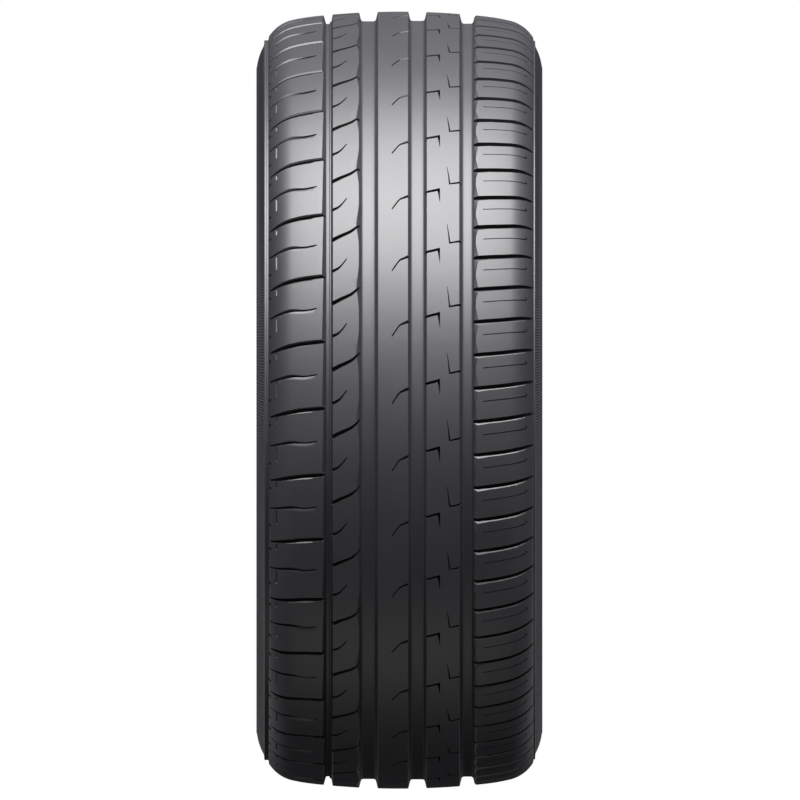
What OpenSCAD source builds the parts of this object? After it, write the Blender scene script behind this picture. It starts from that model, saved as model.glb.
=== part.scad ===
// Car tyre, 235/45 R17 size, lying on its side with its spin axis upright.
// One moulded rubber solid. Across the tread, a place is given by its axial
// distance from the centre plane; around the tread, by a share of the pitch.

/* [Overall size] */
// Diameter over the tread
overall_d = 643.3; // [630:0.1:660]
// Width over the sidewalls at their widest point
section_w = 236.7; // [232:0.1:242]
// Diameter of the bead seats, the diameter of a 17-inch rim
rim_d = 436.6; // [432:0.1:442]
// Width over the two beads, as seated on the rim
bead_w = 203.2; // [196:0.1:208]

/* [Tread outline] */
// Radius across the middle of the tread
crown_r = 640; // [560:1:800]
// Width of the middle of the tread
crown_w = 144; // [136:1:150]
// Radius across the sides of the tread
side_r = 160; // [140:1:200]
// Radius of the rounded shoulders
shoulder_r = 31; // [27:0.5:34]
// Slope at the outer edge of the shoulders, in degrees
shoulder_slope = 58; // [54:1:62]
// Distance from the centre plane to the outer edge of the first shoulder
first_edge = 108; // [106.5:0.1:109.5]
// Distance from the centre plane to the outer edge of the last shoulder
last_edge = 110.6; // [109:0.1:111.2]

/* [Sidewall] */
// Step below the edge of the first shoulder
shelf_drop = 3; // [2:0.1:4]
// Width of the narrow shelf below that step
shelf_w = 3.3; // [2:0.1:3.6]
// Height of the widest point above the bead seat
widest_h = 51.7; // [48:0.1:55]
// Radius of the sidewall above its widest point
upper_wall_r = 48; // [42:0.5:56]
// Radius of the sidewall below its widest point
lower_wall_r = 40; // [36:0.5:48]
// Rib that guards the rim: how far it stands outside the bead
guard_out = 13.7; // [12.5:0.1:14.5]
// Rib that guards the rim: height of its nose above the rim flange
guard_h = 10.5; // [9:0.1:12]
// Thickness of the sidewall at its widest point
wall_t = 8; // [6:0.1:10]

/* [Bead] */
// Height of the rim flange that the bead sits against
flange_h = 17.3; // [16:0.1:18.5]
// Radius of the rim flange
flange_r = 9.5; // [8:0.1:11]
// Width of the bead's base, from heel to toe
bead_base_w = 21; // [18:0.1:24]
// Radius of the bead's heel
heel_r = 6; // [4:0.1:7]
// Thickness of the bead's toe
toe_t = 2; // [1:0.1:3]

/* [Main grooves] */
// Depth of the three wide grooves
groove_depth = 7.5; // [5:0.1:8.5]
// Thickness of the casing and belts below the wide grooves
under_t = 9.6; // [8:0.1:12]
// Slope of the groove walls, in degrees
groove_draft = 14; // [6:1:16]
// Radius at the foot of the groove walls
groove_foot_r = 2; // [1:0.1:2]
// Narrow groove: place of its middle
narrow_at = -58.6; // [-61:0.05:-57]
// Narrow groove: width at the tread
narrow_w = 7.2; // [5.5:0.1:8]
// Narrow groove: depth
narrow_depth = 7.2; // [5:0.1:7.5]
// First wide groove: place of its middle
wide1_at = -25.65; // [-28:0.05:-24]
// First wide groove: width at the tread
wide1_w = 15.4; // [12:0.1:17]
// Second wide groove: place of its middle
wide2_at = 14.95; // [13:0.05:17]
// Second wide groove: width at the tread
wide2_w = 15.1; // [12:0.1:17]
// Third wide groove: place of its middle
wide3_at = 56.3; // [55:0.05:58.5]
// Third wide groove: width at the tread
wide3_w = 12.6; // [11:0.1:15]

/* [Waved and bevelled edges] */
// How far the wave of the second rib's edge goes into the rib
wave_in = 2.2; // [1:0.1:2.8]
// Depth of the bevel beside the third wide groove
edge_bevel_depth = 1.5; // [0.8:0.1:2.2]
// Width of that bevel where a cross groove opens
edge_bevel_w = 2.6; // [1.4:0.1:3.4]
// Width of that bevel between the cross grooves
edge_bevel_low_w = 0.8; // [0.3:0.1:1.3]

/* [Cross grooves] */
// Number of pattern pitches round the tread
pitches = 36; // [30:1:40]
// Depth of the cross grooves
cross_depth = 5.5; // [3:0.1:6.5]
// Depth of the sipes
sipe_depth = 4; // [2:0.1:5]
// Depth at which the cross grooves run out at the shoulder edges
runout_depth = 1.8; // [1:0.1:2.5]
// Slope of the bevels beside the cross grooves, in degrees from the tread
bevel_slope = 45; // [35:1:50]
// Width of the cross groove in the first shoulder
cross1_w = 3.2; // [2:0.1:3.5]
// Width of the slanted groove in the second rib
slant_w = 2.9; // [1.8:0.1:3]
// Width of the sipe in the middle rib where it opens
mid_sipe_w = 2.2; // [1.5:0.1:2.8]
// Width of the hooked notches in the fourth rib
hook_w = 1.8; // [1:0.1:2]
// Width of the cross grooves in the last shoulder
cross2_w = 2.2; // [1.6:0.1:2.8]
// Width of the bevels beside the cross grooves
bevel_w = 1.9; // [1:0.1:2.4]
// Width of the sipes
sipe_w = 1; // [0.7:0.1:1.4]

/* [Hidden] */
$fn = 180;
rubber = [0.13, 0.13, 0.14];
over = 4;                      // reach of a cutter past the tread
toe_bevel = 1;
shelf_gap = 0.4;               // run of the step beside the shoulder edge
face_top = 0.5;                // edge of the last shoulder to the top of the face below it
face_run = 1.5;                // run of that steep face
valley_h = 6.5;                // height of the hollow above the rim guard's nose
nose_w = 3.5;                  // flat of the rim guard's nose
runout_from = 0.78;            // share of the half tread where run-out starts

crown_top = overall_d / 2;
rim_radius = rim_d / 2;
widest_r = rim_radius + widest_h;
half_w = section_w / 2;
half_bead = bead_w / 2;
pitch = 360 / pitches;

// Slopes where the three arcs of the tread meet, each tangent to the next
crown_slope = asin(crown_w / 2 / crown_r);
function side_slope(edge) = asin((edge - crown_w / 2 + side_r * sin(crown_slope)
    - shoulder_r * sin(shoulder_slope)) / (side_r - shoulder_r));
crown_c = [0, crown_top - crown_r];
side_c = crown_c + (crown_r - side_r) * [sin(crown_slope), cos(crown_slope)];
function shoulder_c(edge) =
    side_c + (side_r - shoulder_r) * [sin(side_slope(edge)), cos(side_slope(edge))];

// Radius of the tread at an axial place
function dome(c, r, a) = c.y + sqrt(max(r * r - pow(a - c.x, 2), 0));
function edge_at(a) = a < 0 ? first_edge : last_edge;
function tread_r(a) = let (edge = edge_at(a), c = shoulder_c(edge), x = abs(a))
    x <= crown_w / 2 ? dome(crown_c, crown_r, x)
    : x <= c.x + shoulder_r * sin(side_slope(edge)) ? dome(side_c, side_r, x)
    : dome(c, shoulder_r, min(x, edge));
function floor_r(a, depth) = tread_r(a) - depth + (depth - runout_depth)
    * min(max((abs(a) / edge_at(a) - runout_from) / (1 - runout_from), 0), 1);

function arc(c, r, from, to, n) =
    [for (i = [0:n]) c + r * [cos(from + (to - from) * i / n), sin(from + (to - from) * i / n)]];

upper_c = [half_w - upper_wall_r, widest_r];
lower_c = [half_w - lower_wall_r, widest_r];
nose = [half_bead + guard_out, rim_radius + flange_h + guard_h];
shelf_r = tread_r(-first_edge) - shelf_drop;

// One half of the outside: crown, side, shoulder, what lies below the shoulder's
// edge, and from the place wall_from on the sidewall, rim guard and bead
function outside(edge, below, wall_from) = concat(
    arc(crown_c, crown_r, 90, 90 - crown_slope, 3),
    arc(side_c, side_r, 90 - crown_slope, 90 - side_slope(edge), 1),
    arc(shoulder_c(edge), shoulder_r, 90 - side_slope(edge), 90 - shoulder_slope, 4),
    [for (x = below) [x, shelf_r]],
    arc(upper_c, upper_wall_r, acos((wall_from - upper_c.x) / upper_wall_r), 0, 6),
    arc(lower_c, lower_wall_r, 0, -asin((widest_r - nose.y - valley_h) / lower_wall_r), 5),
    [nose, nose - [0.4, nose_w]],
    arc([half_bead + flange_r, rim_radius + flange_h - flange_r], flange_r, 105, 180, 6),
    arc([half_bead - heel_r, rim_radius + heel_r], heel_r, 0, -90, 5)
);

// One half of the inside: bead toe, sidewall and crown, each arc tangent to the next
toe = [half_bead - bead_base_w, rim_radius];
toe_top = toe + [-toe_bevel, toe_t];
inner_top = crown_top - groove_depth - under_t;
inner_crown_r = crown_r - groove_depth - under_t;
inner_a = half_w - wall_t;
corner_r = 30;
corner_c = [inner_a - corner_r, inner_top - inner_crown_r
    + sqrt(pow(inner_crown_r - corner_r, 2) - pow(inner_a - corner_r, 2))];
corner_slope = asin(corner_c.x / (inner_crown_r - corner_r));
liner_r = 42;
liner_c = [inner_a - liner_r, corner_c.y];
to_toe = toe_top - liner_c;
liner_end = atan2(to_toe.y, to_toe.x) + acos(liner_r / norm(to_toe));
inside = concat(
    [toe, toe_top],
    arc(liner_c, liner_r, liner_end, 0, 6),
    arc(corner_c, corner_r, 0, 90 - corner_slope, 8),
    arc([0, inner_top - inner_crown_r], inner_crown_r, 90 - corner_slope, 90, 5)
);
shelf_out = first_edge + shelf_gap + shelf_w;
first_half = concat(
    outside(first_edge, [first_edge + shelf_gap, shelf_out - 0.5], shelf_out + 0.2), inside);
last_half = concat(
    outside(last_edge, [last_edge + 0.1, last_edge + face_top], last_edge + face_top + face_run), inside);

// Outline of a main groove, with sloped walls and rounded feet
function groove(at, w, depth) = let (
    top = tread_r(at) + over,
    low = tread_r(at) - depth,
    lean = tan(groove_draft),
    half_top = w / 2 + over * lean,
    half_low = w / 2 - depth * lean,
    turn = 90 - groove_draft,
    foot = groove_foot_r * tan(turn / 2),
    r = groove_foot_r
) concat(
    [[at - half_top, top]],
    arc([at - half_low + foot, low + r], r, 180 + groove_draft, 270, 3),
    arc([at + half_low - foot, low + r], r, 270, 360 - groove_draft, 3),
    [[at + half_top, top]]
);

module groove_outlines() {
    polygon([for (p = groove(wide1_at, wide1_w, groove_depth)) [p.y, p.x]]);
    polygon([for (p = groove(wide2_at, wide2_w, groove_depth)) [p.y, p.x]]);
    polygon([for (p = groove(wide3_at, wide3_w, groove_depth)) [p.y, p.x]]);
    polygon([for (p = groove(narrow_at, narrow_w, narrow_depth)) [p.y, p.x]]);
}

module casing() {
    rotate_extrude() difference() {
        polygon(concat(
            [for (p = last_half) [p.y, p.x]],
            [for (i = [len(first_half) - 2:-1:1]) [first_half[i].y, -first_half[i].x]]
        ));
        groove_outlines();
    }
}

// The ribs between the grooves, each as [low edge, high edge]
rib1 = [-first_edge, narrow_at - narrow_w / 2];
rib2 = [narrow_at + narrow_w / 2, wide1_at - wide1_w / 2];
rib3 = [wide1_at + wide1_w / 2, wide2_at - wide2_w / 2];
rib4 = [wide2_at + wide2_w / 2, wide3_at - wide3_w / 2];
rib5 = [wide3_at + wide3_w / 2, last_edge];

// A line given as [share across the rib, share of the pitch], laid on the tread
// as [axial, round the tread], measured from the middle of the line
function middle(p) = pitch * (p[0].y + p[len(p) - 1].y) / 2;
function laid(p, rib) = [for (q = p) let (
    a = rib[0] + q.x * (rib[1] - rib[0])
) [a, tread_r(a) * sin(q.y * pitch - middle(p))]];

// The outline of a line whose width at each point is given, with mitred corners
function across(a, b) = [a.y - b.y, b.x - a.x] / norm(b - a);
function mitre(p, i) = let (
    before = across(p[max(i - 1, 0)], p[max(i, 1)]),
    after = across(p[min(i, len(p) - 2)], p[min(i + 1, len(p) - 1)])
) (before + after) / (1 + before * after);
function ribbon(p, widths) = let (last = len(p) - 1) concat(
    [for (i = [0:last]) p[i] + widths[i] / 2 * mitre(p, i)],
    [for (i = [last:-1:0]) p[i] - widths[i] / 2 * mitre(p, i)]
);

// Turns a drawing on the tread, x across it and y round it, to stand on the tread
module on_tread(phase) {
    rotate([0, -90, 90 - phase]) children();
}

// A cut with a flat floor, for the ribs in the middle of the tread
module flat_cut(p, rib, widths, depth) {
    line = laid(p, rib);
    on_tread(middle(p)) translate([0, 0, tread_r(line[0].x) - depth])
        linear_extrude(height = depth + over) polygon(ribbon(line, widths));
}

// A cut whose floor follows the rounded shoulder. At each point its section is
// two walls, a floor, and a bevel of the given width on the lower side.
module shoulder_cut(p, rib, widths, depth, bevels) {
    line = laid(p, rib);
    last = len(line) - 1;
    points = [for (i = [0:last]) let (
        a = line[i].x, y = line[i].y, half = widths[i] / 2, b = bevels[i],
        top = tread_r(a)
    ) each [
        [a, y + half, top + over], [a, y + half, floor_r(a, depth)],
        [a, y - half, floor_r(a, depth)], [a, y - half, top - b * tan(bevel_slope)],
        [a, y - half - b - over / tan(bevel_slope), top + over]
    ]];
    corners = 5;
    sides = [for (i = [0:last - 1], j = [0:corners - 1]) let (next = (j + 1) % corners)
        [i * corners + j, i * corners + next, (i + 1) * corners + next, (i + 1) * corners + j]];
    first_end = [[3, 2, 1, 0], [4, 3, 0]];
    last_end = [for (f = [[0, 1, 2, 3], [0, 3, 4]]) [for (j = f) last * corners + j]];
    on_tread(middle(p)) polyhedron(points, concat(sides, first_end, last_end), convexity = 4);
}

// A cut along an edge of a rib. Each row is a share of the pitch and the cut's
// four corners there, as [axial, radius], and turns with the tread.
module edge_cut(rows) {
    centre = (rows[0][0] + rows[len(rows) - 1][0]) / 2;
    last = len(rows) - 1;
    points = [for (row = rows, c = row[1]) let (turn = (row[0] - centre) * pitch)
        [c.x, c.y * sin(turn), c.y * cos(turn)]];
    sides = [for (i = [0:last - 1], j = [0:3]) let (next = (j + 1) % 4)
        each [[i * 4 + j, (i + 1) * 4 + next, i * 4 + next],
            [i * 4 + j, (i + 1) * 4 + j, (i + 1) * 4 + next]]];
    ends = [[0, 1, 2, 3], [for (j = [3:-1:0]) last * 4 + j]];
    on_tread(centre * pitch) polyhedron(points, concat(sides, ends), convexity = 2);
}

// The second rib's edge: its groove wall leans further back along a wave
module edge_wave() {
    edge = rib2[1];
    low = tread_r(wide1_at) - groove_depth + 1.8;
    foot = edge + (tread_r(edge) - low) * tan(groove_draft) + 0.3;
    edge_cut([for (row = [[0.34, -0.1], [0.52, 0.41], [0.64, 0.86], [0.706, 1], [0.82, 0.68], [1.06, -0.1]])
        let (
            inward = row[1] * wave_in,
            lean = (foot - edge + inward) / (tread_r(edge) - low)
        ) [row[0], [[edge - inward - over * lean, tread_r(edge) + over], [edge + 4, tread_r(edge) + over],
            [edge + 4, low], [foot, low]]]]);
}

// The bevel between the third wide groove and the last rib, wider where the
// cross grooves open
module edge_bevel() {
    wall = rib5[0] - edge_bevel_depth * tan(groove_draft);
    top = tread_r(wall);
    edge_cut([for (row = [[0.683, edge_bevel_w], [0.873, edge_bevel_low_w], [0.933, edge_bevel_low_w], [1.163, edge_bevel_w]])
        let (lean = (row[1] + rib5[0] - wall) / edge_bevel_depth)
        [row[0], [[wall - 2, top - edge_bevel_depth], [wall - 2, top + over],
            [wall + (edge_bevel_depth + over) * lean, top + over], [wall, top - edge_bevel_depth]]]]);
}

module cross_grooves() {
    shoulder_cut([[0.03, 0.747], [0.29, 0.8], [0.55, 0.838], [0.775, 0.861], [0.79, 0.862], [1.04, 0.885]],
        rib1, cross1_w * [0.65, 0.8, 1, 1, 1, 1], cross_depth, bevel_w * [0, 0, 0.6, 1, 0, 0]);
    flat_cut([[-0.07, 0.434], [0.32, 0.515], [0.72, 0.588], [1.07, 0.71]],
        rib2, slant_w * [1, 0.85, 0.7, 0.45], cross_depth);
    flat_cut([[-0.06, 0.235], [0.36, 0.288], [0.385, 0.17], [0.4, 0.06]],
        rib4, hook_w * [1, 1, 0.7, 0.25], cross_depth);
    flat_cut([[1.06, 0.436], [0.69, 0.4], [0.66, 0.56], [0.615, 0.72]],
        rib4, hook_w * [0.85, 0.8, 0.7, 0.25], cross_depth);
}

module sipes() {
    shoulder_cut([[0.02, 0.283], [0.2, 0.329], [0.42, 0.367], [0.62, 0.353], [0.86, 0.379]],
        rib1, sipe_w * [1, 1, 1, 1, 1], sipe_depth, bevel_w * [0, 0.2, 1.25, 1.2, 0]);
    flat_cut([[-0.07, 0.941], [0.2, 0.988], [0.38, 1.055], [0.55, 1.148]],
        rib2, sipe_w * [2, 1.6, 1, 0.8], sipe_depth);
    flat_cut([[0.47, 0.945], [0.71, 1.109], [1.06, 1.178]],
        rib3, mid_sipe_w * [0.45, 0.5, 1], sipe_depth);
}

module last_shoulder_groove() {
    shoulder_cut([[-0.02, 0.673], [0.42, 0.71], [0.78, 0.75], [1.03, 0.81]],
        rib5, cross2_w * [1, 1, 0.9, 0.6], cross_depth, bevel_w * [1.2, 0.9, 0.8, 0]);
}

module tyre() {
    color(rubber) translate([0, 0, half_w]) difference() {
        casing();
        for (i = [0:pitches - 1]) rotate([0, 0, -i * pitch]) {
            cross_grooves();
            sipes();
            edge_wave();
            for (turn = [0, pitch / 2]) rotate([0, 0, turn]) {
                last_shoulder_groove();
                edge_bevel();
            }
        }
    }
}

tyre();
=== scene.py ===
import math

import bmesh
import bpy
from mathutils import Matrix, Vector


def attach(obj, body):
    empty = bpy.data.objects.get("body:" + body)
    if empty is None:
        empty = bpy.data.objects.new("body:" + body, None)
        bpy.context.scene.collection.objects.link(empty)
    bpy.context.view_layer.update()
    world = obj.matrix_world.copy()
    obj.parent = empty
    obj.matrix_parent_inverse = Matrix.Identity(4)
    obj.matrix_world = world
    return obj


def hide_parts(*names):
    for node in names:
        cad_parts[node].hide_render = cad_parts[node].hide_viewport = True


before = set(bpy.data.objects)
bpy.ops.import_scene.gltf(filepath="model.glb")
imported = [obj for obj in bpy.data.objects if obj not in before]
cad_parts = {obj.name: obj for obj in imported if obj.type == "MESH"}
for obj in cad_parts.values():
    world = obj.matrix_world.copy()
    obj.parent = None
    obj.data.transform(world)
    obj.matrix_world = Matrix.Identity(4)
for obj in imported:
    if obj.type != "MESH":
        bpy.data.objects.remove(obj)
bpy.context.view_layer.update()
scene = bpy.context.scene

# The tyre's outline: one piece of rubber over plies and steel belts, pressed into
# a heated mould. Its section is the same all round, so it is drawn once, as
# points of (axial distance from the centre plane, radius), in millimetres.
CROWN_TOP, HALF_W = 321.65, 118.35
RIM_R, HALF_BEAD, FLANGE_H = 218.3, 101.6, 17.3
WIDEST_R = RIM_R + 51.7
FIRST_EDGE, LAST_EDGE, CROWN_HALF = 108.0, 110.6, 72.0
CROWN_R, SIDE_R, SHOULDER_R, SHOULDER_SLOPE = 640.0, 160.0, 31.0, math.radians(58)
WALL_T, CROWN_T = 8.0, 17.1
# Across a fine ring of the sidewall, and its height there
RING_PROFILE = ((-0.55, 0), (-0.25, 0.28), (0.25, 0.28), (0.55, 0))


def along(centre, radius, slope):
    """The point of an arc at that slope, measured from the crown."""
    return (centre[0] + radius * math.sin(slope), centre[1] + radius * math.cos(slope))


crown_slope = math.asin(CROWN_HALF / CROWN_R)
crown_c = (0.0, CROWN_TOP - CROWN_R)
side_c = along(crown_c, CROWN_R - SIDE_R, crown_slope)


def shoulder(edge):
    """Slope where a shoulder's arc starts, its centre and its start."""
    slope = math.asin((edge - CROWN_HALF + SIDE_R * math.sin(crown_slope)
                       - SHOULDER_R * math.sin(SHOULDER_SLOPE)) / (SIDE_R - SHOULDER_R))
    centre = along(side_c, SIDE_R - SHOULDER_R, slope)
    return slope, centre, along(centre, SHOULDER_R, slope)[0]


SHOULDERS = {-1: (FIRST_EDGE, *shoulder(FIRST_EDGE)), 1: (LAST_EDGE, *shoulder(LAST_EDGE))}


def tread_r(a):
    """Radius of the tread at an axial place."""
    edge, _, centre, start = SHOULDERS[1 if a > 0 else -1]
    a = min(abs(a), edge)
    c, r = ((crown_c, CROWN_R) if a <= CROWN_HALF
            else (side_c, SIDE_R) if a <= start else (centre, SHOULDER_R))
    return c[1] + math.sqrt(r * r - (a - c[0]) ** 2)


def arc(centre, radius, start, end, steps, rings=()):
    """Points of an arc, its angles in degrees from the axial direction. rings are
    the radii at which a fine moulded ring runs round the tyre."""
    angles = [start + (end - start) * i / steps for i in range(steps + 1)]
    places = {t: 0.0 for t in angles}
    for ring_r in rings:
        middle = math.degrees(math.asin((ring_r - centre[1]) / radius))
        for offset, height in RING_PROFILE:
            places[middle + math.degrees(offset / radius)] = height
    order = sorted(places, reverse=end < start)
    return [(centre[0] + (radius + places[t]) * math.cos(math.radians(t)),
             centre[1] + (radius + places[t]) * math.sin(math.radians(t))) for t in order]


# Below the first shoulder runs a shelf with a parting line, below the last one a
# narrow ledge; then both sides have the same wall, rim guard and bead.
BELOW = {-1: [(108.25, 299.2), (108.45, 298.0), (110.0, 298.0), (110.15, 297.7), (110.3, 298.0),
              (111.55, 297.95), (111.85, 297.5), (112.1, 294.2)],
         1: [(110.85, 299.3), (111.2, 297.5), (112.15, 297.4), (112.4, 296.9), (112.55, 293.6)]}
WALL_FROM = {-1: 112.3, 1: 112.7}
GUARD_OUT, GUARD_UP, VALLEY_H = 13.7, 10.5, 6.5
GUARD = (HALF_BEAD + GUARD_OUT, RIM_R + FLANGE_H + GUARD_UP)
UPPER_WALL_R, LOWER_WALL_R, FLANGE_R, HEEL_R = 48.0, 40.0, 9.5, 6.0
UPPER_RINGS, LOWER_RINGS = (275.2,), (263.5, 260.5, 257.5)
upper_c = (HALF_W - UPPER_WALL_R, WIDEST_R)
lower_c = (HALF_W - LOWER_WALL_R, WIDEST_R)
valley = -math.degrees(math.asin((WIDEST_R - GUARD[1] - VALLEY_H) / LOWER_WALL_R))


def outer_wall(hand):
    """One side of the outside, from the shoulder's edge to the bead."""
    start = math.degrees(math.acos((WALL_FROM[hand] - upper_c[0]) / UPPER_WALL_R))
    return (
        BELOW[hand] + arc(upper_c, UPPER_WALL_R, start, 0, 9, rings=UPPER_RINGS)
        + arc(lower_c, LOWER_WALL_R, 0, valley, 8, rings=LOWER_RINGS)[1:]
        + [(GUARD[0] - 0.8, GUARD[1] + 0.3), (GUARD[0] - 0.1, GUARD[1] - 0.6),
           (GUARD[0] - 0.45, GUARD[1] - 3.0), (GUARD[0] - 1.3, GUARD[1] - 4.0)]
        + arc((HALF_BEAD + FLANGE_R, RIM_R + FLANGE_H - FLANGE_R), FLANGE_R, 105, 180, 8)
        + arc((HALF_BEAD - HEEL_R, RIM_R + HEEL_R), HEEL_R, 0, -90, 6)
    )


# Inside, from the bead's toe over the liner to the middle of the crown
BEAD_W, TOE_IN, TOE_UP = 21, 1, 2
TOE = (HALF_BEAD - BEAD_W, RIM_R)
toe_top = (TOE[0] - TOE_IN, TOE[1] + TOE_UP)
INNER_A, LINER_R, CORNER_R, INNER_CROWN_R = HALF_W - WALL_T, 42.0, 30.0, CROWN_R - CROWN_T
inner_c = (0.0, CROWN_TOP - CROWN_T - INNER_CROWN_R)
corner_c = (INNER_A - CORNER_R, inner_c[1] + math.sqrt(
    (INNER_CROWN_R - CORNER_R) ** 2 - (INNER_A - CORNER_R) ** 2))
corner_slope = math.degrees(math.asin(corner_c[0] / (INNER_CROWN_R - CORNER_R)))
liner_c = (INNER_A - LINER_R, corner_c[1])
to_toe = (toe_top[0] - liner_c[0], toe_top[1] - liner_c[1])
liner_end = math.degrees(math.atan2(to_toe[1], to_toe[0])
                         + math.acos(LINER_R / math.hypot(*to_toe)))
inner_wall = (
    [TOE, toe_top] + arc(liner_c, LINER_R, liner_end, 0, 8)
    + arc(corner_c, CORNER_R, 0, 90 - corner_slope, 8)[1:]
    + arc(inner_c, INNER_CROWN_R, 90 - corner_slope, 90, 5)[1:]
)

# The tread's ribs and main grooves: ribs of the mould's rings press four grooves
# round the whole tread. Their walls lean and their feet are rounded. The narrow
# one has a ledge, and some edges are waved once or twice in each pitch.
PITCHES = 36
PITCH = 360 / PITCHES
FIRST = -0.8
LAST = FIRST + PITCH
STATIONS = [FIRST, 0.3, 1.4, 2.06, 3.0, 3.93, 5.2, 6.4, 7.06, 8.2, 8.72, 9.08, LAST]
WALL_STATIONS = [FIRST, 1.4, 3.93, 6.4, LAST]
DRAFT, FOOT_R, EDGE = math.radians(14), 2.0, 0.35
# Each wide groove's place, width and depth
WIDE_GROOVES = [(-25.65, 15.4, 7.5), (14.95, 15.1, 7.5), (56.3, 12.6, 7.5)]
BEVEL_DEPTH, BEVEL_EDGE, BEVEL_LIP = 1.5, 0.2, 0.3
# How far an edge is moved along the axis, at places round the pitch
EDGE_WAVES = {
    "first": [(FIRST, -2.0), (8.72, -0.4), (9.08, -2.0), (LAST, -2.0)],
    "second": [(FIRST, -0.7), (0.3, -0.1), (1.4, 0.0), (3.93, -0.15), (5.2, -0.9), (6.4, -1.9),
               (7.06, -2.2), (8.2, -1.5), (8.72, -1.1), (9.08, -0.8), (LAST, -0.7)],
    "last": [(FIRST, 1.2), (1.4, 3.1), (2.06, 3.1), (3.93, 1.2), (5.2, 1.4), (6.4, 3.1),
             (7.06, 3.1), (8.72, 1.2), (LAST, 1.2)],
}


def wave(key, phase):
    """The shift of an edge at a place round the pitch."""
    table = EDGE_WAVES.get(key, [(FIRST, 0.0), (LAST, 0.0)])
    for (p0, v0), (p1, v1) in zip(table, table[1:]):
        if p0 <= phase <= p1:
            return v0 + (v1 - v0) * (phase - p0) / (p1 - p0)
    return table[-1][1]


def groove_side(at, width, depth, hand, key=None):
    """One wall of a groove, from the tread down to the end of its rounded foot, as
    (axial, radius or None on the tread, key of its wave)."""
    top, low = tread_r(at), tread_r(at) - depth
    lip = width / 2
    for _ in range(4):
        lip = width / 2 - (top - tread_r(at + hand * lip)) * math.tan(DRAFT)
    foot_at = width / 2 - depth * math.tan(DRAFT) - FOOT_R * math.tan((math.pi / 2 - DRAFT) / 2)
    feet = [(at + hand * (foot_at + FOOT_R * math.sin(t)), low + FOOT_R * (1 - math.cos(t)), None)
            for t in [(math.pi / 2 - DRAFT) * (3 - i) / 3 for i in range(4)]]
    lip_a = at + hand * lip
    if key == "last":
        wall = lip_a - hand * BEVEL_DEPTH * math.tan(DRAFT)
        return [(wall + hand * BEVEL_LIP, None, key), (wall, tread_r(wall) - BEVEL_EDGE, key),
                (wall, tread_r(wall) - BEVEL_DEPTH, None)] + feet
    return [(lip_a + hand * EDGE, None, key),
            (lip_a - hand * EDGE * math.tan(DRAFT), tread_r(lip_a) - EDGE, key)] + feet


NARROW = [(-62.45, None, "first"), (-62.1, tread_r(-62) - EDGE, "first"), (-61.0, 312.6, None),
          (-60.6, 311.6, None), (-60.2, 311.45, None), (-58.15, 311.45, None),
          (-57.8, 311.7, None), (-57.55, 313.1, None), (-56.75, 313.2, None), (-56.3, 313.7, None),
          (-55.35, tread_r(-55) - 0.5, None), (-54.95, None, None)]
RIB_POINT = 67.0               # one more point of each shoulder rib, beside its groove


def tread_outline():
    """The tread from one shoulder edge to the other, as groove_side's points."""
    places = {}
    for hand, (_, slope, centre, start) in SHOULDERS.items():
        slopes = [SHOULDER_SLOPE + (slope - SHOULDER_SLOPE) * i / 11 for i in range(12)]
        places[hand] = ([along(centre, SHOULDER_R, s)[0] for s in slopes]
                        + [start + (CROWN_HALF - start) * i / 3 for i in range(1, 4)])
    points = [(-a, None, None) for a in places[-1]] + [(-RIB_POINT, None, None)]
    keys = {0: ("second", None), 2: (None, "last")}
    walls = [NARROW]
    for n, (at, width, depth) in enumerate(WIDE_GROOVES):
        left, right = keys.get(n, (None, None))
        walls.append(groove_side(at, width, depth, -1, left)
                     + groove_side(at, width, depth, 1, right)[::-1])
    for wall, beyond in zip(walls, walls[1:] + [None]):
        points += wall
        if beyond:
            start, end = wall[-1][0], beyond[0][0]
            points += [(start + (end - start) * i / 3, None, None) for i in (1, 2)]
    return points + [(RIB_POINT, None, None)] + [(a, None, None) for a in places[1][::-1]]


def stand(a, phase, radius):
    """A point of the tyre in metres, in the row frame. Phase is in degrees, and
    0 is the side that faces the photograph."""
    t = math.radians(phase)
    return Vector((-radius * math.sin(t), -radius * math.cos(t), HALF_W + a)) / 1000


tread_points = tread_outline()
lower = [(-a, r) for a, r in outer_wall(-1) + inner_wall]
upper = outer_wall(1) + inner_wall
# Round the rest of the section: up one wall, inside, and down the other
rest_points = upper + lower[-2::-1]

pitch_mesh = bmesh.new()
pitch_mesh.faces.layers.float.new("cut")
tread_rings = []
for phase in STATIONS:
    ring = []
    for a, r, key in tread_points:
        a += wave(key, phase)
        ring.append(pitch_mesh.verts.new(stand(a, phase, tread_r(a) if r is None else r)))
    tread_rings.append(ring)
rest_rings = [[pitch_mesh.verts.new(stand(a, phase, r)) for a, r in rest_points]
              for phase in WALL_STATIONS]
for rings in (tread_rings, rest_rings):
    for ring, beside in zip(rings, rings[1:]):
        for i in range(len(ring) - 1):
            pitch_mesh.faces.new((ring[i], ring[i + 1], beside[i + 1], beside[i]))
# The shoulder edges, where the tread's closer stations meet the wall's
for n, (start, end) in enumerate(zip(WALL_STATIONS, WALL_STATIONS[1:])):
    j0, j1 = STATIONS.index(start), STATIONS.index(end)
    high = [tread_rings[j][-1] for j in range(j0, j1 + 1)]
    low = [tread_rings[j][0] for j in range(j0, j1 + 1)]
    pitch_mesh.faces.new([rest_rings[n][0], rest_rings[n + 1][0]] + high[::-1])
    pitch_mesh.faces.new(low + [rest_rings[n + 1][-1], rest_rings[n][-1]])
for tread_ring, rest_ring in ((tread_rings[0], rest_rings[0]), (tread_rings[-1], rest_rings[-1])):
    pitch_mesh.faces.new(tread_ring + rest_ring)
bmesh.ops.recalc_face_normals(pitch_mesh, faces=pitch_mesh.faces)

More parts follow.
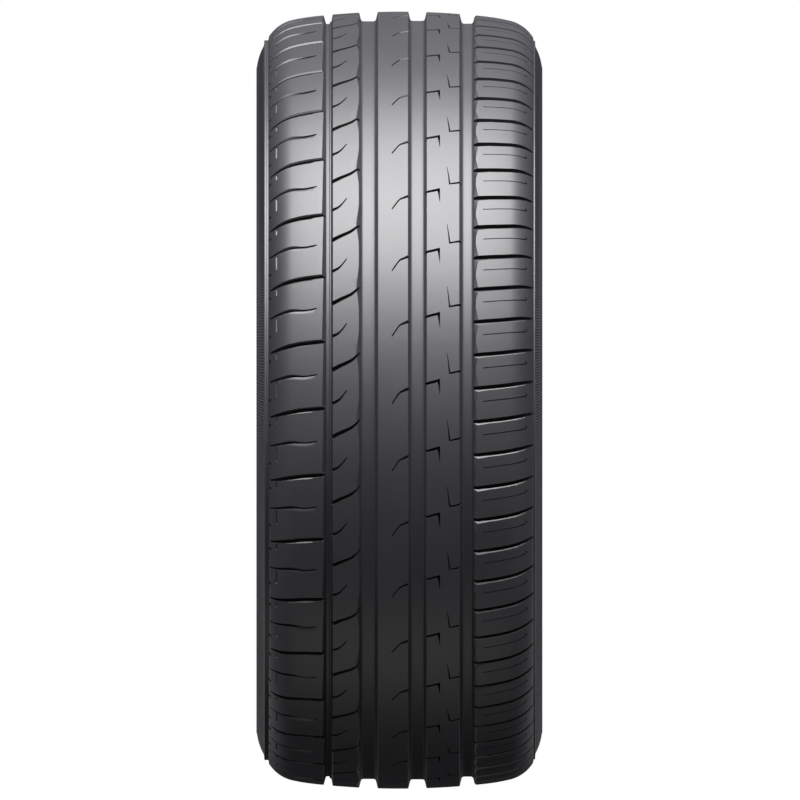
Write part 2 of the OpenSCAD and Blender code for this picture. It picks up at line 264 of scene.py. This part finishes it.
# The tread's cross grooves and sipes: thin blades in the mould press them, the
# same in each of its 36 pitches. The wider ones have bevelled edges, which take
# the load in braking.
OVER, NO_BEVEL = 1.2, 0.02
NOTCH_OVER, NOTCH_LIP = 0.3, 0.05
RUNOUT_DEPTH, RUNOUT_FROM = 2.3, 0.78
CROSS_DEPTH, SIPE_DEPTH, COMMA_DEPTH, SLOT_DEPTH = 5.5, 4.0, 1.2, 0.45
# Sides of a cut that lie open, and how much painted shade they take: two bevels and the open top
OPEN_SIDE_SHADE = {0: 0.5, 4: 0.0, 5: 0.0}
cutters = bmesh.new()
# Each face of a blade carries a share of painted shade, from 0 to 1, that darkens the inside of
# the cut it presses
cut_shade = cutters.faces.layers.float.new("cut")


def floor_r(a, depth):
    """Radius of a cut's floor, which rises towards the shoulder edges."""
    edge = SHOULDERS[1 if a > 0 else -1][0]
    share = min(max((abs(a) / edge - RUNOUT_FROM) / (1 - RUNOUT_FROM), 0), 1)
    return tread_r(a) - depth + max(depth - RUNOUT_DEPTH, 0) * share


def smoothed(points, parts):
    """A smooth line through points, whose values are all carried along."""
    out = []
    for i in range(len(points) - 1):
        p0, p1, p2 = points[max(i - 1, 0)], points[i], points[i + 1]
        p3 = points[min(i + 2, len(points) - 1)]
        for k in range(parts):
            t = k / parts
            out.append([0.5 * (2 * b + (c - a) * t + (2 * a - 5 * b + 4 * c - d) * t * t
                               + (3 * b - a - 3 * c + d) * t ** 3)
                        for a, b, c, d in zip(p0, p1, p2, p3)])
    return out + [list(points[-1])]


def swept(rings, side_shade):
    """A closed blade through rings of corners, with painted shade on its faces: the
    given share on the sides that lie open to the light, and in full on the others."""
    count = len(rings[0])
    faces = []
    for r0, r1 in zip(rings, rings[1:]):
        for j in range(count):
            face = cutters.faces.new((r0[j], r0[(j + 1) % count], r1[(j + 1) % count], r1[j]))
            face[cut_shade] = side_shade.get(j, 1.0)
            faces.append(face)
    for ring in (rings[0], rings[-1]):
        face = cutters.faces.new(ring)
        face[cut_shade] = 1.0
        faces.append(face)
    bmesh.ops.recalc_face_normals(cutters, faces=faces)


def cut(path, depth, parts=1, mitred=True, turn=0.0, lean=(1.0, 1.0)):
    """Adds the shape of one blade. path is [axial, phase, width, bevel on the upper
    side, bevel on the lower side], turned by turn degrees round the tyre. lean is
    each bevel's width for its drop."""
    line = smoothed([list(p) + [0] * (5 - len(p)) for p in path], parts)
    flat = [Vector((a, math.radians(phase) * tread_r(a))) for a, phase, *_ in line]
    rings = []
    for i, (a, _, width, above, below) in enumerate(line):
        side = Vector((0, 1))
        if mitred:
            here, ahead = max(i, 1), min(i + 1, len(flat) - 1)
            before = (flat[here] - flat[here - 1]).normalized()
            after = (flat[ahead] - flat[ahead - 1]).normalized()
            before, after = Vector((-before.y, before.x)), Vector((-after.y, after.x))
            side = (before + after) / (1 + before.dot(after))
        half, above, below, top = width / 2, max(above, 0), max(below, 0), tread_r(a)
        wings = [OVER * l if bevel else NO_BEVEL for l, bevel in zip(lean, (above, below))]
        corners = [(half + above + wings[0], top + OVER), (half, top - above / lean[0]),
                   (half, floor_r(a, depth)), (-half, floor_r(a, depth)),
                   (-half, top - below / lean[1]), (-half - below - wings[1], top + OVER)]
        ring = []
        for offset, radius in corners:
            place = flat[i] + side * offset
            ring.append(cutters.verts.new(stand(
                place.x, turn + math.degrees(place.y / tread_r(a)), radius)))
        rings.append(ring)
    swept(rings, OPEN_SIDE_SHADE)


def notch(low, high, start, end, floor, run_in, shade=0.0):
    """A short slot round the shoulder between two axial places, with a floor between
    two radii that rises out of it over run_in degrees before its start. shade is the
    share of painted shade that darkens the floor; its walls and ends take it in full."""
    rings = []
    top = (tread_r(low) + NOTCH_OVER, tread_r(high) + NOTCH_OVER)
    for phase, rise in ((start - run_in, 1), (start, 0), ((start + end) / 2, 0), (end, 0)):
        foot = [f + rise * (t - NOTCH_LIP - f) for f, t in zip(floor, top)]
        rings.append([cutters.verts.new(stand(a, phase, r)) for a, r in
                      ((low, foot[0]), (low, top[0]), (high, top[1]), (high, foot[1]))])
    swept(rings, {1: 0.0, 3: shade})


# First shoulder: the cross groove, bevelled on both sides, and the waved sipe, then
# the short slots round it and the marks across its edge
cut([[-106.8, 7.36, 1.4], [-100.5, 7.66, 2.6, 0.4], [-94.0, 7.95, 2.9, 0.9, 0.05],
     [-83.0, 8.34, 2.7, 1.1, 0.6], [-72.8, 8.55, 2.6, 1.1, 0.85], [-70.6, 8.58, 2.6, 1.1, 0.05],
     [-60.3, 8.74, 2.4, 1.0, 0.05]], CROSS_DEPTH, parts=2, mitred=False)
cut([[-107.1, 2.82, 1.3], [-99.0, 3.19, 1.7, 0.6, 0.3], [-92.0, 3.44, 1.5, 1.3, 0.6],
     [-86.5, 3.54, 1.3, 1.0, 1.3], [-79.0, 3.53, 1.2, 0.1, 1.9], [-72.2, 3.68, 1.3, 0, 1.2],
     [-68.5, 3.82, 1.2]], SIPE_DEPTH, parts=2, mitred=False, lean=(1.1, 2.4))
MARK_FOOT_R, MARK_DEPTH = 299.4, 1.8
for start, end in ((6.35, 7.25), (0.6, 2.75)):
    notch(-102.3, -101.2, start, end, [tread_r(-102.3) - SLOT_DEPTH] * 2, run_in=0.12)
# The marks' floors are darkened with painted shade in full
for start, end in ((5.7, 6.25), (-0.3, 0.15)):
    notch(-108.4, -106.3, start, end, (MARK_FOOT_R, tread_r(-106.3) - MARK_DEPTH), run_in=0.02,
          shade=1.0)
# Second rib: the slanted groove, then the spur
cut([[-57.1, 4.34, 3.7], [-48.6, 5.15, 3.2], [-39.8, 5.88, 2.6], [-33.7, 6.85, 1.8],
     [-31.0, 7.3, 1.4]], CROSS_DEPTH, parts=2)
cut([[-57.1, -0.59, 2.9], [-51.2, -0.12, 2.1], [-47.3, 0.55, 1.3], [-43.6, 1.48, 0.9]],
    SIPE_DEPTH, parts=2)
# Middle rib: the bent sipe
cut([[-6.2, -0.55, 1.1], [-1.0, 0.85, 1.2], [0.6, 1.14, 1.2, 0.3], [8.9, 1.7, 1.5, 1.2]],
    SIPE_DEPTH)
# Fourth rib: the two hooked notches
cut([[20.8, 2.35, 2.1], [32.6, 2.93, 2.3], [33.1, 1.8, 1.2], [33.5, 0.8, 0.3]], CROSS_DEPTH)
cut([[51.7, 4.36, 2.0], [41.6, 4.0, 1.35], [40.6, 5.6, 0.85], [39.4, 7.1, 0.3]], CROSS_DEPTH)
# Last shoulder: twice in each pitch, the bevelled groove and a thin sipe with a
# hooked end
for turn in (0.0, -PITCH / 2):
    cut([[61.5, 6.75, 2.8, 0, 2.0], [65.4, 6.81, 3.0, 0, 1.5], [75.0, 6.96, 3.3, 0, 0.7],
         [86.1, 7.17, 3.3, 0, 0.65], [93.0, 7.35, 3.3, 0, 0.65], [99.5, 7.54, 3.2, 0, 0.6],
         [104.5, 7.69, 2.9, 0, 0.4], [107.0, 7.77, 2.6], [112.4, 7.95, 1.9]],
        CROSS_DEPTH, mitred=False, turn=turn, lean=(1.0, 1.2))
    cut([[69.3, 4.8, 0.75], [86.0, 5.14, 0.75], [99.5, 5.43, 0.8], [104.4, 5.6, 1.0]],
        SIPE_DEPTH, parts=2, turn=turn)
    cut([[104.3, 5.58, 0.9], [105.4, 5.72, 0.9], [105.2, 5.9, 0.8], [104.0, 6.0, 0.6]],
        COMMA_DEPTH, turn=turn)


def kept(mesh, name):
    """A bmesh made into an object."""
    data = bpy.data.meshes.new(name)
    mesh.to_mesh(data)
    mesh.free()
    piece = bpy.data.objects.new(name, data)
    scene.collection.objects.link(piece)
    return piece


pitch = kept(pitch_mesh, "tread_pitch")
blades = kept(cutters, "mould_blades")
press = pitch.modifiers.new("press", "BOOLEAN")
press.operation, press.solver, press.object = "DIFFERENCE", "EXACT", blades
press.use_self = True
pressed = bpy.data.meshes.new_from_object(
    pitch.evaluated_get(bpy.context.evaluated_depsgraph_get()))
pitch.modifiers.clear()
pitch.data = pressed
bpy.data.objects.remove(blades)

# The two cut ends of the pitch go, so that its copies join into one skin
ON_END = 2e-6
ends = bmesh.new()
ends.from_mesh(pressed)
for phase in (FIRST, LAST):
    t = math.radians(phase)
    across = Vector((math.cos(t), -math.sin(t), 0))
    bmesh.ops.delete(ends, geom=[f for f in ends.faces
                                 if all(abs(v.co.dot(across)) < ON_END for v in f.verts)],
                     context="FACES_ONLY")
bmesh.ops.delete(ends, geom=[e for e in ends.edges if not e.link_faces], context="EDGES")
bmesh.ops.delete(ends, geom=[v for v in ends.verts if not v.link_edges], context="VERTS")
ends.to_mesh(pressed)
ends.free()

# The tyre's rubber: black with soot and oil, and satin from the mould. It is dull and
# darkened with painted shade in the cuts, smoother on the sidewalls, which have a band
# of fine ribs with a painted highlight on their crests, and ridged inside by the bladder
# that presses it into the mould.
rubber = bpy.data.materials.new("tyre_rubber")
rubber.use_nodes = True


def group(name, inputs, outputs):
    """An empty shader group with sockets, and its two ends."""
    tree = bpy.data.node_groups.new(name, "ShaderNodeTree")
    for label, kind in inputs:
        tree.interface.new_socket(label, in_out="INPUT", socket_type=kind)
    for label, kind in outputs:
        tree.interface.new_socket(label, in_out="OUTPUT", socket_type=kind)
    return tree, tree.nodes.new("NodeGroupInput"), tree.nodes.new("NodeGroupOutput")


def math_node(tree, operation, *values):
    """A maths node whose inputs are sockets or numbers."""
    node = tree.nodes.new("ShaderNodeMath")
    node.operation = operation
    for socket, value in zip(node.inputs, values):
        if isinstance(value, (int, float)):
            socket.default_value = value
        else:
            tree.links.new(value, socket)
    return node.outputs[0]


def ramp(tree, value, start, end):
    """0 below start, 1 above end, smooth between."""
    node = tree.nodes.new("ShaderNodeMapRange")
    node.interpolation_type = "SMOOTHSTEP"
    tree.links.new(value, node.inputs["Value"])
    node.inputs["From Min"].default_value, node.inputs["From Max"].default_value = start, end
    return node.outputs[0]


# Where a point of the skin lies, in the outline's own measures
VALUE, MM = "NodeSocketFloat", 1000.0
place_tree, _, place_out = group(
    "tyre_place", [], [("Axial", VALUE), ("Radius", VALUE), ("Around", VALUE)])
where = place_tree.nodes.new("ShaderNodeTexCoord")
apart = place_tree.nodes.new("ShaderNodeSeparateXYZ")
place_tree.links.new(where.outputs["Object"], apart.inputs[0])
x, y, z = apart.outputs
squares = math_node(place_tree, "ADD", math_node(place_tree, "MULTIPLY", x, x),
                    math_node(place_tree, "MULTIPLY", y, y))
off_axis = math_node(place_tree, "SQRT", squares)
for label, value in (("Axial", math_node(place_tree, "MULTIPLY_ADD", z, MM, -HALF_W)),
                     ("Radius", math_node(place_tree, "MULTIPLY", off_axis, MM)),
                     ("Around", math_node(place_tree, "ARCTAN2", x, y))):
    place_tree.links.new(value, place_out.inputs[label])

# Fine ribs that lean across a band of the sidewall
band_tree, band_in, band_out = group(
    "ribbed_band", [("Radius", VALUE), ("Around", VALUE), ("Ribs", VALUE), ("Run", VALUE),
                    ("Inner", VALUE), ("Outer", VALUE)], [("Height", VALUE)])
given = band_in.outputs
turns = math_node(band_tree, "MULTIPLY", given["Around"], given["Ribs"])
runs = math_node(band_tree, "DIVIDE", given["Radius"], given["Run"])
leaning = math_node(band_tree, "MULTIPLY", runs, math.tau)
ribs = math_node(band_tree, "SINE", math_node(band_tree, "ADD", turns, leaning))
above_inner = math_node(band_tree, "GREATER_THAN", given["Radius"], given["Inner"])
below_outer = math_node(band_tree, "LESS_THAN", given["Radius"], given["Outer"])
band = math_node(band_tree, "MULTIPLY", above_inner, below_outer)
band_tree.links.new(math_node(band_tree, "MULTIPLY", ribs, band), band_out.inputs["Height"])

tree = rubber.node_tree
shader = tree.nodes["Principled BSDF"]
shader.inputs["IOR"].default_value = 1.65
shader.inputs["Specular IOR Level"].default_value = 1.0
place_node = tree.nodes.new("ShaderNodeGroup")
place_node.node_tree = place_tree
axial, radius, around = place_node.outputs
aside = math_node(tree, "ABSOLUTE", axial)


def lies_under(value, limit):
    """1 where a value is less than the limit, 0 elsewhere."""
    return math_node(tree, "LESS_THAN", value, limit)


# The liner lies inside the crown and the walls, and beyond a cone that passes through
# the beads; the sidewalls are what lies outside the shelf, and all else low down
CROWN_LINER_R, CROWN_LINER_A = 305.5, 103.0
WALL_LINER_R, WALL_LINER_A = 294.0, 110.6
CONE_SLOPE, CONE_START = 0.93, 117.4
SHELF_A, SHELF_R = 112.3, 290.0
under_tread = math_node(tree, "MULTIPLY", lies_under(radius, CROWN_LINER_R),
                        lies_under(aside, CROWN_LINER_A))
inward = math_node(tree, "MAXIMUM", under_tread, lies_under(radius, WALL_LINER_R))
cone = math_node(tree, "MULTIPLY_ADD", radius, -CONE_SLOPE, aside)
inner_side = math_node(tree, "MULTIPLY", lies_under(aside, WALL_LINER_A),
                       lies_under(cone, -CONE_START))
liner = math_node(tree, "MULTIPLY", inward, inner_side)
low_wall = math_node(tree, "MULTIPLY", lies_under(radius, SHELF_R),
                     math_node(tree, "SUBTRACT", 1.0, liner))
wall = math_node(tree, "MAXIMUM", math_node(tree, "GREATER_THAN", aside, SHELF_A), low_wall)
cut_shade_node = tree.nodes.new("ShaderNodeAttribute")
cut_shade_node.attribute_name = "cut"

# The sidewall's band of fine ribs, and the ridges that the curing bladder leaves
WALL_RIBS = {"Ribs": 756, "Run": 12.0, "Inner": 276.5, "Outer": 293.0}
LINER_RIDGES = {"Ribs": 288, "Run": 60.0, "Inner": 222.0, "Outer": 306.0}
hatch, bladder = tree.nodes.new("ShaderNodeGroup"), tree.nodes.new("ShaderNodeGroup")
for node, sizes in ((hatch, WALL_RIBS), (bladder, LINER_RIDGES)):
    node.node_tree = band_tree
    tree.links.new(radius, node.inputs["Radius"])
    tree.links.new(around, node.inputs["Around"])
    for label, value in sizes.items():
        node.inputs[label].default_value = value

# The bump's full height in metres, and the shares of it that each relief takes
BUMP_H, GRAIN_H, RIB_H, RIDGE_H = 0.0005, 0.08, 0.6, 0.3
coords = tree.nodes.new("ShaderNodeTexCoord")
grain, blotch = tree.nodes.new("ShaderNodeTexNoise"), tree.nodes.new("ShaderNodeTexNoise")
for node, scale, detail in ((grain, 1400.0, 3.0), (blotch, 14.0, 4.0)):
    tree.links.new(coords.outputs["Object"], node.inputs["Vector"])
    node.inputs["Scale"].default_value, node.inputs["Detail"].default_value = scale, detail

height = math_node(tree, "MULTIPLY", grain.outputs["Fac"], GRAIN_H)
for relief, mask, share in ((hatch, wall, RIB_H), (bladder, liner, RIDGE_H)):
    masked = math_node(tree, "MULTIPLY", relief.outputs["Height"], mask)
    height = math_node(tree, "MULTIPLY_ADD", masked, share, height)
bump = tree.nodes.new("ShaderNodeBump")
bump.inputs["Strength"].default_value = 1.0
bump.inputs["Distance"].default_value = BUMP_H
tree.links.new(height, bump.inputs["Height"])
tree.links.new(bump.outputs[0], shader.inputs["Normal"])


def mixed(kind, share, first, second):
    """A mix of two values, each a socket or a constant."""
    node = tree.nodes.new("ShaderNodeMix")
    node.data_type = kind
    sockets = [s for s in node.inputs if s.enabled]
    tree.links.new(share, sockets[0])
    for socket, value in zip(sockets[1:], (first, second)):
        if isinstance(value, bpy.types.NodeSocket):
            tree.links.new(value, socket)
        else:
            socket.default_value = value
    return next(s for s in node.outputs if s.enabled)


# Colours, and how rough each surface is. The sidewall ribs' crest colour is a painted
# highlight, and the cut colour is painted shade
TREAD_TONES, TREAD_ROUGH = ((0.041, 0.040, 0.047, 1), (0.045, 0.044, 0.052, 1)), (0.47, 0.49)
WALL_TONE, RIB_CREST_HIGHLIGHT, WALL_ROUGH = (0.006, 0.006, 0.007, 1), (0.03, 0.03, 0.034, 1), 0.36
LINER_TONE, LINER_ROUGH = (0.035, 0.034, 0.035, 1), 0.5
CUT_SHADE_TONE, CUT_ROUGH = (0.005, 0.005, 0.006, 1), 0.9
uneven = ramp(tree, blotch.outputs["Fac"], 0.35, 0.65)
crest_highlight = ramp(tree, hatch.outputs["Height"], 0.1, 0.7)
deep_in_cut = ramp(tree, cut_shade_node.outputs["Fac"], 0.6, 1.0)
tone = mixed("RGBA", uneven, *TREAD_TONES)
tone = mixed("RGBA", wall, tone, WALL_TONE)
# Painted highlight: the crests of the sidewall's fine ribs are made lighter, as if they caught the
# light
tone = mixed("RGBA", math_node(tree, "MULTIPLY", crest_highlight, wall), tone, RIB_CREST_HIGHLIGHT)
tone = mixed("RGBA", liner, tone, LINER_TONE)
# Painted shade: the insides of the cuts are darkened, and the upper bevels partly, as if little
# light reached them
tone = mixed("RGBA", cut_shade_node.outputs["Fac"], tone, CUT_SHADE_TONE)
tree.links.new(tone, shader.inputs["Base Color"])
finish = mixed("FLOAT", uneven, *TREAD_ROUGH)
finish = mixed("FLOAT", wall, finish, WALL_ROUGH)
finish = mixed("FLOAT", liner, finish, LINER_ROUGH)
finish = mixed("FLOAT", deep_in_cut, finish, CUT_ROUGH)
tree.links.new(finish, shader.inputs["Roughness"])

# The whole ring: the mould's segments press the same pitch again and again round
# the tyre, and the copies are one skin of rubber.
SEAM, SHARP_FROM = 3e-6, math.radians(32)


def ring_of_pitches(count, gap, material):
    """Geometry Nodes that copy one pitch round the tyre and join the copies."""
    tree = bpy.data.node_groups.new("ring_of_pitches", "GeometryNodeTree")
    socket = tree.interface.new_socket
    socket("Geometry", in_out="INPUT", socket_type="NodeSocketGeometry")
    pitches = socket("Pitches", in_out="INPUT", socket_type="NodeSocketInt")
    seam = socket("Seam", in_out="INPUT", socket_type="NodeSocketFloat")
    finish = socket("Finish", in_out="INPUT", socket_type="NodeSocketMaterial")
    socket("Geometry", in_out="OUTPUT", socket_type="NodeSocketGeometry")
    add, join = tree.nodes.new, tree.links.new
    given, result = add("NodeGroupInput"), add("NodeGroupOutput")
    spots, index = add("GeometryNodePoints"), add("GeometryNodeInputIndex")
    turn = add("ShaderNodeMath")
    step, facing = add("ShaderNodeMath"), add("ShaderNodeCombineXYZ")
    copies, real = add("GeometryNodeInstanceOnPoints"), add("GeometryNodeRealizeInstances")
    merge, paint = add("GeometryNodeMergeByDistance"), add("GeometryNodeSetMaterial")
    step.operation, turn.operation = "DIVIDE", "MULTIPLY"
    step.inputs[0].default_value = math.tau
    join(given.outputs["Pitches"], step.inputs[1])
    join(index.outputs[0], turn.inputs[0])
    join(step.outputs[0], turn.inputs[1])
    join(turn.outputs[0], facing.inputs["Z"])
    join(given.outputs["Pitches"], spots.inputs["Count"])
    join(spots.outputs[0], copies.inputs["Points"])
    join(given.outputs["Geometry"], copies.inputs["Instance"])
    join(facing.outputs[0], copies.inputs["Rotation"])
    join(copies.outputs[0], real.inputs[0])
    join(real.outputs[0], merge.inputs["Geometry"])
    join(given.outputs["Seam"], merge.inputs["Distance"])
    join(merge.outputs[0], paint.inputs["Geometry"])
    join(given.outputs["Finish"], paint.inputs["Material"])
    join(paint.outputs[0], result.inputs[0])
    return tree, {pitches.identifier: count, seam.identifier: gap, finish.identifier: material}


ring_tree, ring_sizes = ring_of_pitches(PITCHES, SEAM, rubber)
copying = pitch.modifiers.new("ring", "NODES")
copying.node_group = ring_tree
for identifier, value in ring_sizes.items():
    copying[identifier] = value
skin = bpy.data.meshes.new_from_object(
    pitch.evaluated_get(bpy.context.evaluated_depsgraph_get()))
bpy.data.objects.remove(pitch)
skin.name = "tyre_rubber"
skin.polygons.foreach_set("use_smooth", [True] * len(skin.polygons))
skin.set_sharp_from_angle(angle=SHARP_FROM)
tyre = bpy.data.objects.new("tyre_rubber", skin)
scene.collection.objects.link(tyre)
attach(tyre, "root")
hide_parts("tyre")

# The studio: a white floor and surround, one wide soft box above the tread as the
# photograph shows it, and weak light from elsewhere.
floor_mesh = bpy.data.meshes.new("floor")
reach = 6.0
floor_mesh.from_pydata([(-reach, -reach, 0), (reach, -reach, 0), (reach, reach, 0),
                        (-reach, reach, 0)], [], [(0, 1, 2, 3)])
floor = bpy.data.objects.new("floor", floor_mesh)
scene.collection.objects.link(floor)
floor.visible_diffuse = floor.visible_glossy = floor.visible_shadow = False
paper = bpy.data.materials.new("paper")
paper.use_nodes = True
paper.node_tree.nodes["Principled BSDF"].inputs["Base Color"].default_value = (0.9, 0.9, 0.9, 1)
paper.node_tree.nodes["Principled BSDF"].inputs["Roughness"].default_value = 0.9
floor_mesh.materials.append(paper)

MIDDLE, LAMP_AWAY = Vector((0, 0, HALF_W / 1000)), 2.0


def soft_box(name, direction, width, height, power):
    """A flat lamp that faces the tyre; width lies level and height upright."""
    light = bpy.data.lights.new(name, "AREA")
    light.shape, light.size, light.size_y, light.energy = "RECTANGLE", width, height, power
    lamp = bpy.data.objects.new(name, light)
    towards = Vector(direction).normalized()
    lamp.location = MIDDLE + towards * LAMP_AWAY
    lamp.rotation_mode = "QUATERNION"
    lamp.rotation_quaternion = towards.to_track_quat("Z", "Y")
    scene.collection.objects.link(lamp)


soft_box("key", (-0.84, -0.54, 0.02), width=1.95, height=1.98, power=82)
soft_box("low", (0.978, -0.26, 0), width=0.9, height=1.6, power=1.7)

world = bpy.data.worlds.new("surround")
scene.world = world
world.use_nodes = True
wn, wl = world.node_tree.nodes, world.node_tree.links
wn.clear()
path, output = wn.new("ShaderNodeLightPath"), wn.new("ShaderNodeOutputWorld")
white, fill = wn.new("ShaderNodeBackground"), wn.new("ShaderNodeBackground")
choose = wn.new("ShaderNodeMixShader")
white.inputs["Color"].default_value = (1, 1, 1, 1)
fill.inputs["Color"].default_value = (1, 0.985, 1.05, 1)
sky, axes = wn.new("ShaderNodeTexCoord"), wn.new("ShaderNodeSeparateXYZ")
wl.new(sky.outputs["Generated"], axes.inputs[0])


def strength(direction, limits, values, smooth=False):
    """Light that goes from the first value to the second as a part of its direction
    goes from the first limit to the second."""
    node = wn.new("ShaderNodeMapRange")
    node.interpolation_type = "SMOOTHSTEP" if smooth else "LINEAR"
    wl.new(direction, node.inputs["Value"])
    for label, value in zip(("From Min", "From Max", "To Min", "To Max"), (*limits, *values)):
        node.inputs[label].default_value = value
    return node.outputs[0]


over_tread = strength(axes.outputs["X"], (-0.45, 0.45), (0.235, 0.003), smooth=True)
# Towards the two ends of the spin axis the light comes more from below, and it is
# stronger behind the tyre, where only the sidewalls mirror it
from_below = strength(axes.outputs["X"], (-0.1, 0.2), (0.012, 0.15))
from_behind = strength(axes.outputs["Y"], (0.6, 0.85), (1.0, 6.5))
at_ends, sideways = wn.new("ShaderNodeMath"), wn.new("ShaderNodeMath")
at_ends.operation, sideways.operation = "MULTIPLY", "ABSOLUTE"
wl.new(from_below, at_ends.inputs[0])
wl.new(from_behind, at_ends.inputs[1])
wl.new(axes.outputs["Z"], sideways.inputs[0])
ends_share = strength(sideways.outputs[0], (0.3, 0.62), (0.0, 1.0), smooth=True)
surround = wn.new("ShaderNodeMix")
for socket, value in zip((0, 2, 3), (ends_share, over_tread, at_ends.outputs[0])):
    wl.new(value, surround.inputs[socket])
wl.new(surround.outputs[0], fill.inputs["Strength"])
wl.new(path.outputs["Is Camera Ray"], choose.inputs[0])
wl.new(fill.outputs[0], choose.inputs[1])
wl.new(white.outputs[0], choose.inputs[2])
wl.new(choose.outputs[0], output.inputs["Surface"])

# The camera looks level at the tread with a very long lens. It is rolled by a
# quarter turn, because the photograph has the spin axis level.
PICTURE, PIXEL, AWAY = 800, 0.8278, 2
UP, RIGHT = 0.15, 0.6          # pixels from the tyre's middle to the picture's
camera_data = bpy.data.cameras.new("camera")
camera_data.type = "ORTHO"
camera_data.ortho_scale = PICTURE * PIXEL / 1000
camera = bpy.data.objects.new("camera", camera_data)
camera.matrix_world = Matrix(((0, -1, 0, -UP * PIXEL / 1000),
                              (0, 0, -1, -AWAY),
                              (1, 0, 0, (HALF_W + RIGHT * PIXEL) / 1000),
                              (0, 0, 0, 1)))
scene.collection.objects.link(camera)
scene.camera = camera

scene.view_settings.view_transform = "Standard"
